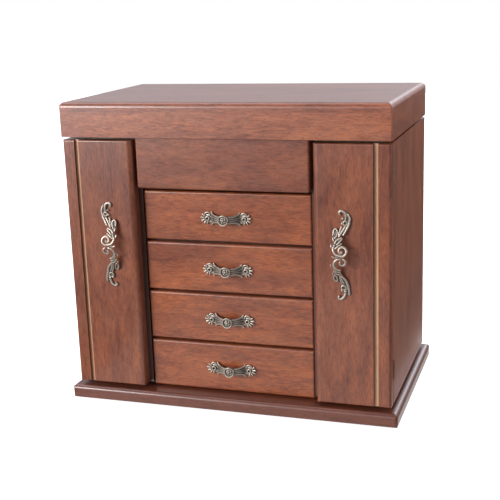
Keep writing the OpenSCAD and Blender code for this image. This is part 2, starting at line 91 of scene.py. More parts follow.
def tidy_mesh(obj, merge=1e-6):
    """Merges doubled points and makes the faces look outwards."""
    work = bmesh.new()
    work.from_mesh(obj.data)
    bmesh.ops.remove_doubles(work, verts=work.verts, dist=merge)
    bmesh.ops.recalc_face_normals(work, faces=work.faces)
    work.to_mesh(obj.data)
    work.free()
    return obj


def apply_modifiers(obj):
    """Replaces the mesh by what its modifiers make of it."""
    bpy.context.view_layer.update()
    evaluated = obj.evaluated_get(bpy.context.evaluated_depsgraph_get())
    mesh = bpy.data.meshes.new_from_object(evaluated)
    obj.modifiers.clear()
    obj.data = mesh
    return obj


def joined(name, objects):
    """One object that holds the meshes of several."""
    verts, faces = [], []
    for obj in objects:
        start = len(verts)
        verts += [obj.matrix_world @ v.co for v in obj.data.vertices]
        faces += [[start + i for i in p.vertices] for p in obj.data.polygons]
        bpy.data.objects.remove(obj)
    return new_object(name, verts, faces)


def copy_of(obj, name, matrix):
    """A copy of a mesh object whose points are moved by a matrix."""
    mesh = obj.data.copy()
    mesh.transform(matrix)
    if matrix.determinant() < 0:
        mesh.flip_normals()
    twin = bpy.data.objects.new(name, mesh)
    bpy.context.scene.collection.objects.link(twin)
    return twin


def place(obj, body, slot, material, *nodes):
    """Finishes a piece: its material, its body and the CAD nodes that it stands for. The slot is
    not used.
    """
    obj.data.materials.clear()
    obj.data.materials.append(material)
    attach(obj, body)
    if nodes:
        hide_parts(*nodes)
    return obj


def smooth_curve(points, step):
    """Points about step apart on a Catmull-Rom curve through the given points."""
    pts = [np.array(p, float) for p in points]
    pts = [2 * pts[0] - pts[1]] + pts + [2 * pts[-1] - pts[-2]]
    out = []
    for a, b, c, d in zip(pts, pts[1:], pts[2:], pts[3:]):
        count = max(2, int(np.linalg.norm(c - b) / step))
        for t in np.linspace(0, 1, count, endpoint=False):
            out.append(
                0.5 * (2 * b + (c - a) * t + (2 * a - 5 * b + 4 * c - d) * t**2
                       + (3 * b - a - 3 * c + d) * t**3)
            )
    out.append(pts[-2])
    return np.array(out)


def face_grid(low, high, step, radius):
    """Coordinates along one side of a box, closer together near its rounded ends."""
    length = high - low
    radius = min(radius, length / 2)
    near = [0, 0.12, 0.3, 0.55, 0.8, 1.0]
    inner = max(1, int((length - 2 * radius) / step))
    ends = [low + radius * t for t in near] + [high - radius * t for t in near]
    middle = np.linspace(low + radius, high - radius, inner + 1)
    return sorted(set(np.round(np.concatenate([ends, middle]), 7)))


def soft_box(name, low, high, radius, step, crown=(0, 0, 0), ripple=0.0, seed=0):
    """A box of cloth over board: rounded edges, faces that crown, and a slight unevenness.

    crown gives how far the faces across x, y and z sink in at their edges."""
    low, high = np.array(low, float), np.array(high, float)
    grids = [face_grid(low[i], high[i], step, radius) for i in range(3)]
    verts, faces = [], []
    for axis in range(3):
        a, b = [i for i in range(3) if i != axis]
        for end in (low[axis], high[axis]):
            start = len(verts)
            for p in grids[a]:
                for q in grids[b]:
                    point = np.zeros(3)
                    point[axis], point[a], point[b] = end, p, q
                    verts.append(point)
            faces += quads(len(grids[a]), len(grids[b]), start)
    points = np.array(verts)
    radius = min(radius, (high - low).min() / 2)
    inner = np.clip(points, low + radius, high - radius)
    out = points - inner
    length = np.linalg.norm(out, axis=1, keepdims=True)
    points = inner + out / np.maximum(length, 1e-9) * radius
    share = np.clip((points - low) / (high - low) * 2 - 1, -1, 1)
    bulge = 1 - share**4
    for axis in range(3):
        a, b = [i for i in range(3) if i != axis]
        sink = crown[axis] * (1 - bulge[:, a] * bulge[:, b])
        points[:, axis] -= np.sign(share[:, axis]) * sink * np.abs(share[:, axis])
    if ripple:
        offset = Vector((seed * 3.1, seed * 1.7, seed * 2.3))
        for i, p in enumerate(points):
            wave = noise.noise_vector(Vector(p) * 90 + offset)
            points[i] = np.clip(p + np.array(wave) * ripple, low, high)
    return tidy_mesh(new_object(name, points, faces), 1e-5)


# ---------------------------------------------------------------- materials


class Nodes:
    """A short way to write a tree of shader nodes and their links."""

    def __init__(self, tree):
        self.tree = tree
        tree.nodes.clear()

    def new(self, kind):
        return self.tree.nodes.new("ShaderNode" + kind)

    def link(self, a, b):
        self.tree.links.new(a, b)

    def fill(self, socket, value):
        if isinstance(value, bpy.types.NodeSocket):
            self.link(value, socket)
        elif socket.type == "RGBA" and len(value) == 3:
            socket.default_value = (*value, 1)
        else:
            socket.default_value = value

    def ramp(self, value, *stops):
        """A colour or grey ramp; each stop is (position, grey or colour)."""
        node = self.new("ValToRGB")
        self.link(value, node.inputs[0])
        elements = node.color_ramp.elements
        while len(elements) < len(stops):
            elements.new(0.5)
        for element, (position, colour) in zip(elements, stops):
            element.position = position
            grey = isinstance(colour, (int, float))
            element.color = (colour, colour, colour, 1) if grey else (*colour, 1)
        return node.outputs[0]

    def mask(self, value, low, high):
        """Rises from 0 at low to 1 at high."""
        return self.ramp(value, (low, 0.0), (high, 1.0))

    def math(self, operation, *values):
        node = self.new("Math")
        node.operation = operation
        for socket, value in zip(node.inputs, values):
            self.fill(socket, value)
        return node.outputs[0]

    def mix(self, factor, a, b, blend="MIX"):
        node = self.new("Mix")
        node.data_type = "RGBA"
        node.blend_type = blend
        self.fill(node.inputs["Factor"], factor)
        self.fill(node.inputs["A"], a)
        self.fill(node.inputs["B"], b)
        return node.outputs["Result"]


class Shader(Nodes):
    """A material's nodes, in the object's own coordinates."""

    def __init__(self, name):
        self.material = bpy.data.materials.new(name)
        self.material.use_nodes = True
        super().__init__(self.material.node_tree)
        self.principled = self.new("BsdfPrincipled")
        self.link(self.principled.outputs[0], self.new("OutputMaterial").inputs["Surface"])
        self.place = self.new("TexCoord").outputs["Object"]

    def set(self, **values):
        """Sets the principled shader's sockets; an underscore stands for a space."""
        for name, value in values.items():
            self.fill(self.principled.inputs[name.replace("_", " ")], value)

    def stretched(self, scale, offset=(0, 0, 0)):
        """Object coordinates, scaled and shifted."""
        node = self.new("Mapping")
        self.link(self.place, node.inputs["Vector"])
        node.inputs["Scale"].default_value = scale
        node.inputs["Location"].default_value = offset
        return node.outputs[0]

    def noise(self, scale, detail=3.0, rough=0.55, distortion=0.0, offset=(0, 0, 0)):
        node = self.new("TexNoise")
        self.link(self.stretched(scale, offset), node.inputs["Vector"])
        node.inputs["Scale"].default_value = 1.0
        node.inputs["Detail"].default_value = detail
        node.inputs["Roughness"].default_value = rough
        node.inputs["Distortion"].default_value = distortion
        return node.outputs["Fac"]

    def cells(self, scale, offset=(0, 0, 0)):
        node = self.new("TexVoronoi")
        self.link(self.stretched(scale, offset), node.inputs["Vector"])
        node.inputs["Scale"].default_value = 1.0
        return node.outputs["Distance"]

    def bump(self, height, strength, distance, below=None):
        node = self.new("Bump")
        self.link(height, node.inputs["Height"])
        node.inputs["Strength"].default_value = strength
        node.inputs["Distance"].default_value = distance
        if below is not None:
            self.link(below, node.inputs["Normal"])
        return node.outputs[0]

    def attribute(self, name):
        node = self.new("Attribute")
        node.attribute_name = name
        return node.outputs["Fac"]


AXES = {"x": 0, "y": 1, "z": 2}


def along(axis, length, across):
    """Noise scale for marks that are length long on one axis and across wide on the others."""
    scale = [1 / across] * 3
    scale[AXES[axis]] = 1 / length
    return scale


def even(size):
    """Noise scale for marks that are equally large on all axes."""
    return [1 / size] * 3


def wood_material(name, grain, light, dark, seed, pores=0.5):
    """Lacquered veneer whose grain runs along one axis of the board."""
    s = Shader(name)
    shift = (seed * 0.731, seed * 0.457, seed * 0.893)
    broad = s.noise(along(grain, 90 * MM, 22 * MM), 2.0, 0.5, 0.6, shift)
    ribbon = s.noise(along(grain, 20 * MM, 3.6 * MM), 4.0, 0.62, 0.9, shift)
    fibre = s.noise(along(grain, 8 * MM, 1.0 * MM), 3.0, 0.7, 0.3, shift)
    fleck = s.noise(along(grain, 6 * MM, 1.2 * MM), 2.0, 0.6, 0.5, shift)
    vessel = s.cells(along(grain, 3.4 * MM, 0.42 * MM), shift)
    # Painted reflection: broad patches that stand for the room's grey-lilac sheen in the lacquer
    sheen_and_smudge = s.noise(along(grain, 30 * MM, 13 * MM), 3.0, 0.55, 1.0, shift[::-1])
    peel = s.noise(even(2.6 * MM), 1.0, 0.4, 0.0, shift)

    tone = s.math("MULTIPLY", s.mask(ribbon, 0.28, 0.72), 0.34)
    tone = s.math("MULTIPLY_ADD", s.mask(broad, 0.3, 0.7), 0.30, tone)
    tone = s.math("MULTIPLY_ADD", s.mask(fibre, 0.25, 0.75), 0.36, tone)
    middle = [(a + b) / 2 for a, b in zip(light, dark)]
    colour = s.ramp(tone, (0.20, dark), (0.5, middle), (0.80, light))
    fleck = s.math("MULTIPLY", s.mask(fleck, 0.53, 0.63), 0.8 * pores)
    colour = s.mix(fleck, colour, [c * 0.42 for c in dark])
    # painted reflection: the patches pull the veneer's colour towards grey-lilac
    sheen_and_smudge = s.math("MULTIPLY", s.mask(sheen_and_smudge, 0.40, 0.66), 0.28)
    colour = s.mix(sheen_and_smudge, colour, [m * k for m, k in zip(middle, (0.84, 1.22, 1.75))])
    pore = s.ramp(vessel, (0.10, 1.0), (0.26, 0.0))
    pore = s.math("MULTIPLY", pore, s.mask(fibre, 0.42, 0.6))
    colour = s.mix(s.math("MULTIPLY", pore, pores), colour, [c * 0.22 for c in dark])

    relief = s.math("MULTIPLY_ADD", pore, -0.6, fibre)
    normal = s.bump(relief, 0.16, 0.12 * MM, s.bump(peel, 0.06, 0.15 * MM))
    rough = s.ramp(ribbon, (0.2, 0.27), (0.8, 0.35))
    s.set(Base_Color=colour, Roughness=rough, Normal=normal, Coat_Weight=0.35,
          Coat_Roughness=0.16, Coat_Normal=s.bump(relief, 0.10, 0.12 * MM), IOR=1.5)
    return s.material


def ply_material(name, grain, seed):
    """Pale, plain birch, rubbed smooth and hardly varnished."""
    s = Shader(name)
    shift = (seed * 0.37, seed * 0.91, seed * 0.53)
    broad = s.noise(along(grain, 120 * MM, 14 * MM), 3.0, 0.5, 0.8, shift)
    fibre = s.noise(along(grain, 14 * MM, 0.8 * MM), 3.0, 0.6, 0.1, shift)
    fleck = s.noise(along(grain, 2.5 * MM, 0.5 * MM), 1.0, 0.5, 0.0, shift)
    colour = s.ramp(broad, (0.3, (0.56, 0.36, 0.19)), (0.7, (0.70, 0.50, 0.30)))
    colour = s.mix(s.ramp(fibre, (0.45, 0.0), (0.75, 0.35)), colour, (0.42, 0.26, 0.13))
    colour = s.mix(s.ramp(fleck, (0.62, 0.0), (0.74, 0.4)), colour, (0.38, 0.22, 0.11))
    s.set(Base_Color=colour, Roughness=s.ramp(fibre, (0.2, 0.5), (0.8, 0.66)),
          Normal=s.bump(fibre, 0.2, 0.1 * MM))
    return s.material


def velvet_material(name, colour):
    """Short-pile velvet: a fine nap, brushed patches and a pale sheen."""
    s = Shader(name)
    shift = (0.41, 0.77, 0.29)
    pile = s.noise(even(0.35 * MM), 2.0, 0.6, 0.0, shift)
    brushed = s.noise([1 / (12 * MM), 1 / (20 * MM), 1 / (12 * MM)], 2.0, 0.4, 1.0, shift)
    weave = s.noise(even(1.3 * MM), 2.0, 0.6, 0.0, shift)
    deep = [c * 0.80 for c in colour]
    pale = [min(1, c * 1.10 + 0.02) for c in colour]
    tone = s.math("MULTIPLY", s.mask(pile, 0.3, 0.7), 0.5)
    tone = s.math("MULTIPLY_ADD", s.mask(brushed, 0.3, 0.7), 0.5, tone)
    shade = s.ramp(tone, (0.1, deep), (0.5, colour), (0.95, pale))
    relief = s.math("MULTIPLY_ADD", weave, 0.5, pile)
    s.set(Base_Color=shade, Roughness=s.ramp(brushed, (0.2, 0.78), (0.8, 0.95)),
          Sheen_Weight=0.55, Sheen_Roughness=0.4, Sheen_Tint=(1.0, 0.93, 0.84, 1),
          Specular_IOR_Level=0.15, Normal=s.bump(relief, 0.55, 0.25 * MM))
    return s.material


def felt_material(name):
    """Matted brown felt with loose fibres."""
    s = Shader(name)
    fibre = s.noise([1 / (0.5 * MM), 1 / (0.9 * MM), 1 / (0.5 * MM)], 4.0, 0.7, 2.5)
    patch = s.noise(even(12 * MM), 2.0, 0.5, 0.5)
    colour = s.ramp(fibre, (0.3, (0.030, 0.016, 0.012)), (0.72, (0.095, 0.055, 0.042)))
    colour = s.mix(s.ramp(patch, (0.3, 0.0), (0.8, 0.35)), colour, (0.055, 0.030, 0.024))
    s.set(Base_Color=colour, Roughness=s.ramp(patch, (0.2, 0.9), (0.8, 1.0)),
          Sheen_Weight=0.3, Sheen_Roughness=0.6, Normal=s.bump(fibre, 0.8, 0.4 * MM))
    return s.material


def antique_material(name):
    """Silvered casting: bright on its ridges, black in its hollows."""
    s = Shader(name)
    hollow = s.attribute("hollow")
    grime = s.noise(even(0.8 * MM), 3.0, 0.6)
    patina = s.noise(even(5 * MM), 3.0, 0.6, 0.8)
    shaded = s.math("MULTIPLY_ADD", s.math("SUBTRACT", grime, 0.5), 0.35, hollow)
    colour = s.ramp(shaded, (0.14, (0.43, 0.36, 0.295)), (0.40, (0.24, 0.195, 0.16)),
                    (0.56, (0.095, 0.078, 0.062)), (0.80, (0.022, 0.018, 0.015)))
    colour = s.mix(s.ramp(patina, (0.5, 0.0), (0.8, 0.35)), colour, (0.33, 0.29, 0.23))
    s.set(Base_Color=colour, Metallic=s.ramp(shaded, (0.2, 0.62), (0.7, 0.35)),
          Roughness=s.ramp(shaded, (0.15, 0.38), (0.7, 0.62)),
          Normal=s.bump(grime, 0.18, 0.08 * MM))
    return s.material


def metal_material(name, colour, dull, rough, scratch_axis):
    """Plain plated or rolled metal with fine drawing marks and slight tarnish."""
    s = Shader(name)
    shift = (0.3, 0.7, 0.5)
    lines = s.noise(along(scratch_axis, 7 * MM, 0.12 * MM), 3.0, 0.6, 0.0, shift)
    tarnish = s.noise(even(3.5 * MM), 3.0, 0.6, 0.6, shift)
    shade = s.mix(s.ramp(tarnish, (0.45, 0.0), (0.8, 0.55)), colour, dull)
    s.set(Base_Color=shade, Metallic=1.0,
          Roughness=s.ramp(tarnish, (0.2, rough - 0.06), (0.8, rough + 0.12)),
          Normal=s.bump(lines, 0.12, 0.03 * MM))
    return s.material


def mirror_material(name):
    """Silvered float glass with a faint haze of fingerprints."""
    s = Shader(name)
    sheen_and_smudge = s.noise(even(16 * MM), 3.0, 0.6, 1.0)
    colour = s.ramp(sheen_and_smudge, (0.3, (0.86, 0.89, 0.89)), (0.7, (0.90, 0.92, 0.92)))
    s.set(Base_Color=colour, Metallic=1.0, Roughness=s.ramp(sheen_and_smudge, (0.4, 0.015), (0.8, 0.05)))
    return s.material


# Board colours, as linear light and dark tones of the veneer
DRAWER_TONES = ((0.375, 0.100, 0.030), (0.106, 0.021, 0.011))
DOOR_TONES = ((0.290, 0.083, 0.031), (0.098, 0.023, 0.014))
LID_TONES = ((0.400, 0.120, 0.044), (0.128, 0.030, 0.017))
BODY_TONES = ((0.350, 0.100, 0.040), (0.112, 0.028, 0.015))
BASE_TONES = ((0.175, 0.048, 0.023), (0.090, 0.024, 0.013))
# Painted shade: the inside boards get dark tones that stand for the shade in the recesses beside
# the drawers and under the fascia
RECESS_SHADE_TONES = ((0.095, 0.034, 0.021), (0.055, 0.020, 0.013))

# Each board: the axis that its grain follows and its tones
BOARDS = {
    "base_board": ("x", BASE_TONES),
    "plinth_frame": ("x", BASE_TONES),
    **{side + "_side_panel": ("z", BODY_TONES) for side in SIDES},
    "back_panel": ("x", BASE_TONES),
    **{side + "_partition": ("z", RECESS_SHADE_TONES) for side in SIDES},
    "body_floor": ("x", RECESS_SHADE_TONES),
    "drawer_shelves": ("x", RECESS_SHADE_TONES),
    "tray_floor": ("x", RECESS_SHADE_TONES),
    "tray_front_board": ("x", RECESS_SHADE_TONES),
    "fascia_board": ("x", DOOR_TONES),
    "lid_top_panel": ("x", BODY_TONES),
    "lid_front_rail": ("x", LID_TONES),
    "lid_back_rail": ("x", BODY_TONES),
    "lid_side_rails": ("y", BODY_TONES),
    **{side + "_door_panel": ("z", DOOR_TONES) for side in SIDES},
    **{f"drawer_{k}_front": ("x", DRAWER_TONES) for k in DRAWERS},
}

VELVET = velvet_material("champagne_velvet", (0.62, 0.50, 0.36))
FELT = felt_material("brown_felt")
ANTIQUE = antique_material("antique_silver")
BRASS = metal_material("satin_brass", (0.72, 0.50, 0.24), (0.42, 0.27, 0.13), 0.30, "x")
BRONZE = metal_material("dark_bronze", (0.13, 0.10, 0.075), (0.05, 0.038, 0.030), 0.42, "z")
COPPER = metal_material("brown_bronze", (0.34, 0.18, 0.11), (0.17, 0.085, 0.055), 0.42, "z")
NICKEL = metal_material("bright_nickel", (0.72, 0.71, 0.69), (0.50, 0.48, 0.45), 0.18, "z")
MIRROR = mirror_material("silvered_glass")


def dress(node, material):
    """Gives a CAD node that stays in view its material."""
    obj = NODES[node]
    obj.data.materials.clear()
    obj.data.materials.append(material)


def dress_boards():
    """Veneer on each board, from a different part of the log."""
    for seed, (node, (grain, tones)) in enumerate(BOARDS.items(), start=1):
        dress(node, wood_material(node + "_veneer", grain, *tones, seed))
    for k in DRAWERS:
        node = f"drawer_{k}_box"
        dress(node, ply_material(node + "_ply", "y", k))
    for seed, side in enumerate(SIDES, start=40):
        maple = wood_material(side + "_maple", "z", (0.64, 0.345, 0.175), (0.46, 0.225, 0.11),
                              seed, pores=0.12)
        dress(side + "_inlay_strip", maple)


def dress_metal():
    """Materials of the CAD metalwork that stays in view."""
    for node in ("lid_hinge_body_leaves", "lid_hinge_lid_leaves", "hinge_pins",
                 "left_necklace_hooks", "right_necklace_hooks"):
        dress(node, BRASS)
    for node in ("door_hinge_body_leaves", "left_door_hinge_leaves",
                 "right_door_hinge_leaves"):
        dress(node, COPPER)
    for node in ("magnet_catches", "left_strike_plate", "right_strike_plate"):
        dress(node, NICKEL)
    dress("lid_mirror", MIRROR)


# ---------------------------------------------------------- cast metalwork


class Casting:
    """Closed strokes and beads that are fused into one cast piece.

    Points are (across, up) in millimetres, and heights stand off the back face."""

    def __init__(self):
        self.verts, self.faces = [], []

    def add(self, verts, faces):
        start = len(self.verts)
        self.verts += [tuple(v) for v in verts]
        self.faces += [tuple(start + i for i in f) for f in faces]

    def tube(self, line, radii, deep=1.0, sides=10):
        """A tube along 3-D points with round ends; deep stretches its section in depth."""
        line = np.array(line, float)
        radii = np.array(radii, float)
        run = np.gradient(line, axis=0)
        run /= np.maximum(np.linalg.norm(run, axis=1, keepdims=True), 1e-9)
        forward = np.array([0.0, 0.0, 1.0])
        rings = []
        caps = [(-0.94, 0.34), (-0.64, 0.77)]
        spots = [(line[0] + run[0] * radii[0] * t, radii[0] * k, run[0]) for t, k in caps]
        spots += list(zip(line, radii, run))
        spots += [(line[-1] - run[-1] * radii[-1] * t, radii[-1] * k, run[-1])
                  for t, k in reversed(caps)]
        for centre, radius, direction in spots:
            side = np.cross(direction, forward)
            side /= max(np.linalg.norm(side), 1e-9)
            up = np.cross(side, direction)
            rings.append([
                centre + side * radius * math.cos(a) + up * radius * deep * math.sin(a)
                for a in np.linspace(0, 2 * math.pi, sides, endpoint=False)
            ])
        verts = [v for ring in rings for v in ring]
        faces = hoops(len(rings), sides)
        faces.append(tuple(range(sides))[::-1])
        faces.append(tuple(range(len(verts) - sides, len(verts))))
        self.add(verts, faces)

    def stroke(self, points, wide, height=1.0, ends=(1.0, 1.0), deep=1.0):
        """A ridge along flat points, wide across in its middle and tapered to its ends."""
        line = smooth_curve([(*p, height) for p in points], 0.35)
        t = np.linspace(0, 1, len(line))
        swell = np.sin(np.pi * t) ** 0.6
        edge = ends[0] * (1 - t) + ends[1] * t
        self.tube(line, wide / 2 * (edge + (1 - edge) * swell), deep)

    def bead(self, at, radius, height):
        """A round bead."""
        self.lathe(at, [(0, height - radius), (radius * 0.8, height - radius * 0.55),
                        (radius, height), (radius * 0.8, height + radius * 0.6),
                        (0, height + radius)])

    def lathe(self, at, outline, sides=32):
        """A solid turned about an axis that stands off the face; outline is (radius, height)."""
        turns = np.linspace(0, 2 * math.pi, sides, endpoint=False)
        verts = [(at[0] + r * math.cos(a), at[1] + r * math.sin(a), h)
                 for r, h in outline for a in turns]
        self.add(verts, hoops(len(outline), sides))

    def ring(self, at, radius, wire, height):
        """A closed ring of round wire that lies flat."""
        angles = np.linspace(0, 2 * math.pi, 33)
        line = [(at[0] + radius * math.cos(a), at[1] + radius * math.sin(a), height)
                for a in angles]
        self.tube(line, [wire] * len(line))

    def fuse(self, name, voxel, bend, faces):
        """One skin over all the strokes, bent by a function of (across, up, height)."""
        obj = new_object(name, np.array(self.verts) * MM, self.faces)
        tidy_mesh(obj)
        remesh = obj.modifiers.new("skin", "REMESH")
        remesh.mode = "VOXEL"
        remesh.voxel_size = voxel * MM
        apply_modifiers(obj)
        ease = obj.modifiers.new("ease", "SMOOTH")
        ease.factor = 0.5
        ease.iterations = 2
        apply_modifiers(obj)
        points = np.array([v.co for v in obj.data.vertices]) / MM
        obj.data.vertices.foreach_set("co", (bend(points) * MM).ravel())
        if len(obj.data.polygons) * 2 > faces:
            thin = obj.modifiers.new("thin", "DECIMATE")
            thin.ratio = faces / (len(obj.data.polygons) * 2)
            apply_modifiers(obj)
        mark_hollows(obj)
        obj.data.polygons.foreach_set("use_smooth", [True] * len(obj.data.polygons))
        return obj


def mark_hollows(obj):
    """Stores how deep each point lies below its surroundings, from 0 on ridges to 1."""
    rounds = (3, 14)
    mesh = obj.data
    count = len(mesh.vertices)
    points = np.array([v.co for v in mesh.vertices])
    normals = np.array([v.normal for v in mesh.vertices])
    edges = np.array([e.vertices[:] for e in mesh.edges])
    weight = np.bincount(edges.ravel(), minlength=count).reshape(-1, 1)
    hollow = np.zeros(count)
    for repeats in rounds:
        smooth = points.copy()
        for _ in range(repeats):
            total = np.zeros_like(points)
            np.add.at(total, edges[:, 0], smooth[edges[:, 1]])
            np.add.at(total, edges[:, 1], smooth[edges[:, 0]])
            smooth = total / np.maximum(weight, 1)
        depth = ((smooth - points) * normals).sum(1)
        spread = np.percentile(np.abs(depth), 92)
        hollow += depth / max(spread, 1e-9) / len(rounds)
    share = np.clip(0.42 + 0.5 * hollow, 0, 1).astype(np.float32)
    layer = mesh.attributes.new("hollow", "FLOAT", "POINT")
    layer.data.foreach_set("value", share)


def arc(centre, radius, start, end, inner=None, count=16):
    """Points round an arc in degrees; with an inner radius it winds in, faster near its end."""
    inner = radius if inner is None else inner
    points = []
    for t in np.linspace(0, 1, count):
        turn = math.radians(start + (end - start) * t)
        reach = radius - (radius - inner) * t**2
        points.append((centre[0] + reach * math.cos(turn), centre[1] + reach * math.sin(turn)))
    return points


# The right scroll handle about its centre, drawn to half a millimetre: ridges on top
HANDLE_BANDS = [
    [(-2.5, 37.5), (-3, 40), (-1, 41), (2, 39.5), (3, 36), (2.5, 32.5)],
    [(5, 38), (6.5, 33.5), (5, 27), (1, 19.5)],
    [(-6.5, 11), (-7.5, 6.5), (-5, 2.5)] + arc((0.5, 5.5), 4.5, 245, 655, inner=1),
    arc((-1.5, -7.5), 5.5, 85, 270),
    arc((0.5, -5), 3.5, 430, 160, inner=1.5),
    [(-1, -19), (2.5, -23), (4.5, -29), (5.5, -34), (5.5, -37)],
    [(3, -31.5), (2, -36), (0.5, -39.5), (-2.5, -41.5), (-4.5, -40.5), (-4, -38.5)],
]
# Leaves, each with its width
HANDLE_LEAVES = [
    (2.0, [(3.5, 28.5), (1, 24.5), (-3, 18)]),
    (1.6, [(-1, 27), (-2.5, 22), (-3, 19)]),
    (1.7, [(-8.5, 19), (-8, 23), (-6.5, 24.5), (-5, 23.5), (-4.5, 21.5), (-5, 19), (-6.5, 16.5)]),
    (1.7, [(-8, 17.5), (-8, 16), (-7.5, 14)]),
    (2.0, [(-6.5, 10.5), (-5, 14.5), (-0.5, 17)]),
    (1.7, [(-0.5, 17), (0, 16), (-2.5, 13), (-4.5, 11)]),
    (1.7, [(0, 12), (-3.5, 9.5), (-6, 7.5)]),
    (1.7, [(-7.5, -10.5), (-5, -14.5), (-1.5, -15.5)]),
    (1.7, [(-8, -14), (-5, -17), (-1.5, -18)]),
    (1.7, [(-7.5, -18), (-5.5, -20), (-5, -23.5), (-6.5, -24.5), (-8, -22.5), (-8.5, -20)]),
    (2.0, [(-2, -18), (-0.5, -23.5), (1, -27)]),
    (1.5, [(-3, -18.5), (-2, -24), (-0.5, -28.5)]),
]
# Short spurs on the outer side
HANDLE_SPURS = [
    (1.7, [(-9.5, 11), (-9.5, 9.5), (-9, 8.5)]),
    (1.3, [(-8.5, 0.5), (-7, -0.5), (-5, -1)]),
    (1.3, [(-10, -7.5), (-10, -10)]),
    (1.5, [(-9, -16), (-8.5, -17.5)]),
]
# Low webs that join the ridges
HANDLE_WEBS = [
    (3.5, [(3.5, 39), (4.5, 34.5), (2, 25), (-3, 18)]),
    (3.2, [(-6.5, 23.5), (-6.5, 19), (-6.5, 11)]),
    (3.5, [(-6, 10), (-1, 16)]),
    (2.0, [(-6, 8.5), (-1, 12)]),
    (1.7, [(-9, 10), (-6.5, 10)]),
    (2.8, [(-4, 1.5), (-4, -2)]),
    (1.5, [(-1, 1.5), (0, -2), (2, -2)]),
    (1.5, [(-9.5, -9), (-7, -8.5)]),
    (4.3, [(-7, -9.5), (-2.5, -17.5)]),
    (3.2, [(-7, -16.5), (-7, -23.5)]),
    (3.5, [(-2, -17), (2, -28), (5, -36.5)]),
    (2.0, [(-0.5, -33.5), (2.5, -33.5)]),
    (2.0, [(-0.5, 29.5), (1.5, 28.5)]),
    (1.5, [(0, 34), (2.5, 33)]),
]
HANDLE_BEADS = [(-2.5, 40), (-0.5, 29.5), (0, 34), (0.5, 5), (-1, -5), (-6.5, 10.5), (-1, -33),
                (-4, -39), (2, -34)]
RING_HIGH, RING_LOW = (2.5, 30), (0.5, -30.5)
HANDLE_RISE = 8.0
HANDLE_RISE_HALF = 31.0
HANDLE_THICK = 3.0


def handle_bow(points):
    """Raises the middle of a flat handle off the door; its ends stay flat."""
    across, up, height = points.T
    share = np.clip(np.abs(up) / HANDLE_RISE_HALF, 0, 1)
    bow = HANDLE_RISE * np.cos(share * np.pi / 2) ** 2
    return np.stack([across, -(np.clip(height, 0, HANDLE_THICK) + bow), up], axis=1)


def scroll_handle():
    """The right door's handle, at the frame's origin and facing the front."""
    cast = Casting()
    for wide, path in HANDLE_WEBS:
        cast.stroke(path, wide, 0.7, (0.6, 0.6), deep=0.3)
    for path in HANDLE_BANDS:
        cast.stroke(path, 2.5, 1.4, (0.66, 0.66), deep=0.85)
    for wide, path in HANDLE_LEAVES:
        cast.stroke(path, wide, 1.35, (0.6, 0.7), deep=0.85)
    for wide, path in HANDLE_SPURS:
        cast.stroke(path, wide, 1.1, (0.8, 0.6), deep=0.8)
    for ring, radius in ((RING_HIGH, 1.8), (RING_LOW, 1.95)):
        cast.ring(ring, radius, 0.8, 1.6)
    for spot in HANDLE_BEADS:
        cast.bead(spot, 1.15, 1.6)
    return cast.fuse("scroll_handle", 0.2, handle_bow, faces=34000)


def place_scroll_handles():
    """A handle on each door, held by two screws; the left one is a mirror image."""
    model = scroll_handle()
    low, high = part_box("right_scroll_handle")
    middle = (low + high) / 2
    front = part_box("right_door_panel")[0].y
    move = Matrix.Translation((middle.x, front, middle.z))
    for side, flip in (("right", 1), ("left", -1)):
        matrix = Matrix.Diagonal((flip, 1, 1, 1)) @ move
        handle = copy_of(model, side + "_scroll_casting", matrix)
        place(handle, side + "_door", "antique_metal", ANTIQUE, side + "_scroll_handle")
        spots = [(flip * (middle.x + u * MM), front - 1.1 * MM, middle.z + w * MM)
                 for u, w in (RING_HIGH, RING_LOW)]
        heads = screws(side + "_handle_screw_heads", spots, (0, -1, 0), 1.15 * MM, 0.5 * MM,
                       side + "_door", "antique_metal", BRONZE)
        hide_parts(side + "_handle_screws")
    bpy.data.objects.remove(model)


PULL_HALF = 18.3
PULL_RISE = 7.6
PULL_THICK = 4.4


def pull_bow(points):
    """Bows the strap of a flat pull out from the drawer."""
    across, up, height = points.T
    share = np.clip((np.abs(across) - 0.5) / (PULL_HALF - 4.0), 0, 1)
    bow = PULL_RISE * np.cos(share * np.pi / 2) ** 1.5
    return np.stack([across, -(np.clip(height, 0, PULL_THICK) + bow), up], axis=1)


def pull_rosette(cast, side):
    """The ring, its petals and the curled leaf over it, at one end of a pull."""
    x = side * PULL_HALF
    cast.lathe((x, 0), [(0, 0), (3.6, 0), (4.4, 0.5), (3.8, 1.1), (0, 1.2)])
    cast.ring((x, 0), 1.75, 0.75, 2.1)
    petals = ((38, 6.9, 1.9), (8, 7.3, 2.1), (-22, 6.9, 2.0), (-54, 6.4, 1.7), (-86, 5.9, 1.5))
    for angle, reach, wide in petals:
        a = math.radians(angle)
        out = np.array([side * math.cos(a), math.sin(a)])
        tip = np.array([x, 0]) + out * (reach - wide / 2)
        root = np.array([x, 0]) + out * 3.0
        cast.stroke([root, (root + tip) / 2, tip], wide, 1.3, (0.45, 1.0), deep=0.8)
    hood = [(x + side * 2.6, 2.4), (x + side * 2.4, 4.6), (x, 5.9), (x - side * 2.3, 5.0),
            (x - side * 2.9, 2.8)]
    cast.stroke(hood, 1.5, 1.7, (0.6, 0.6), deep=0.9)


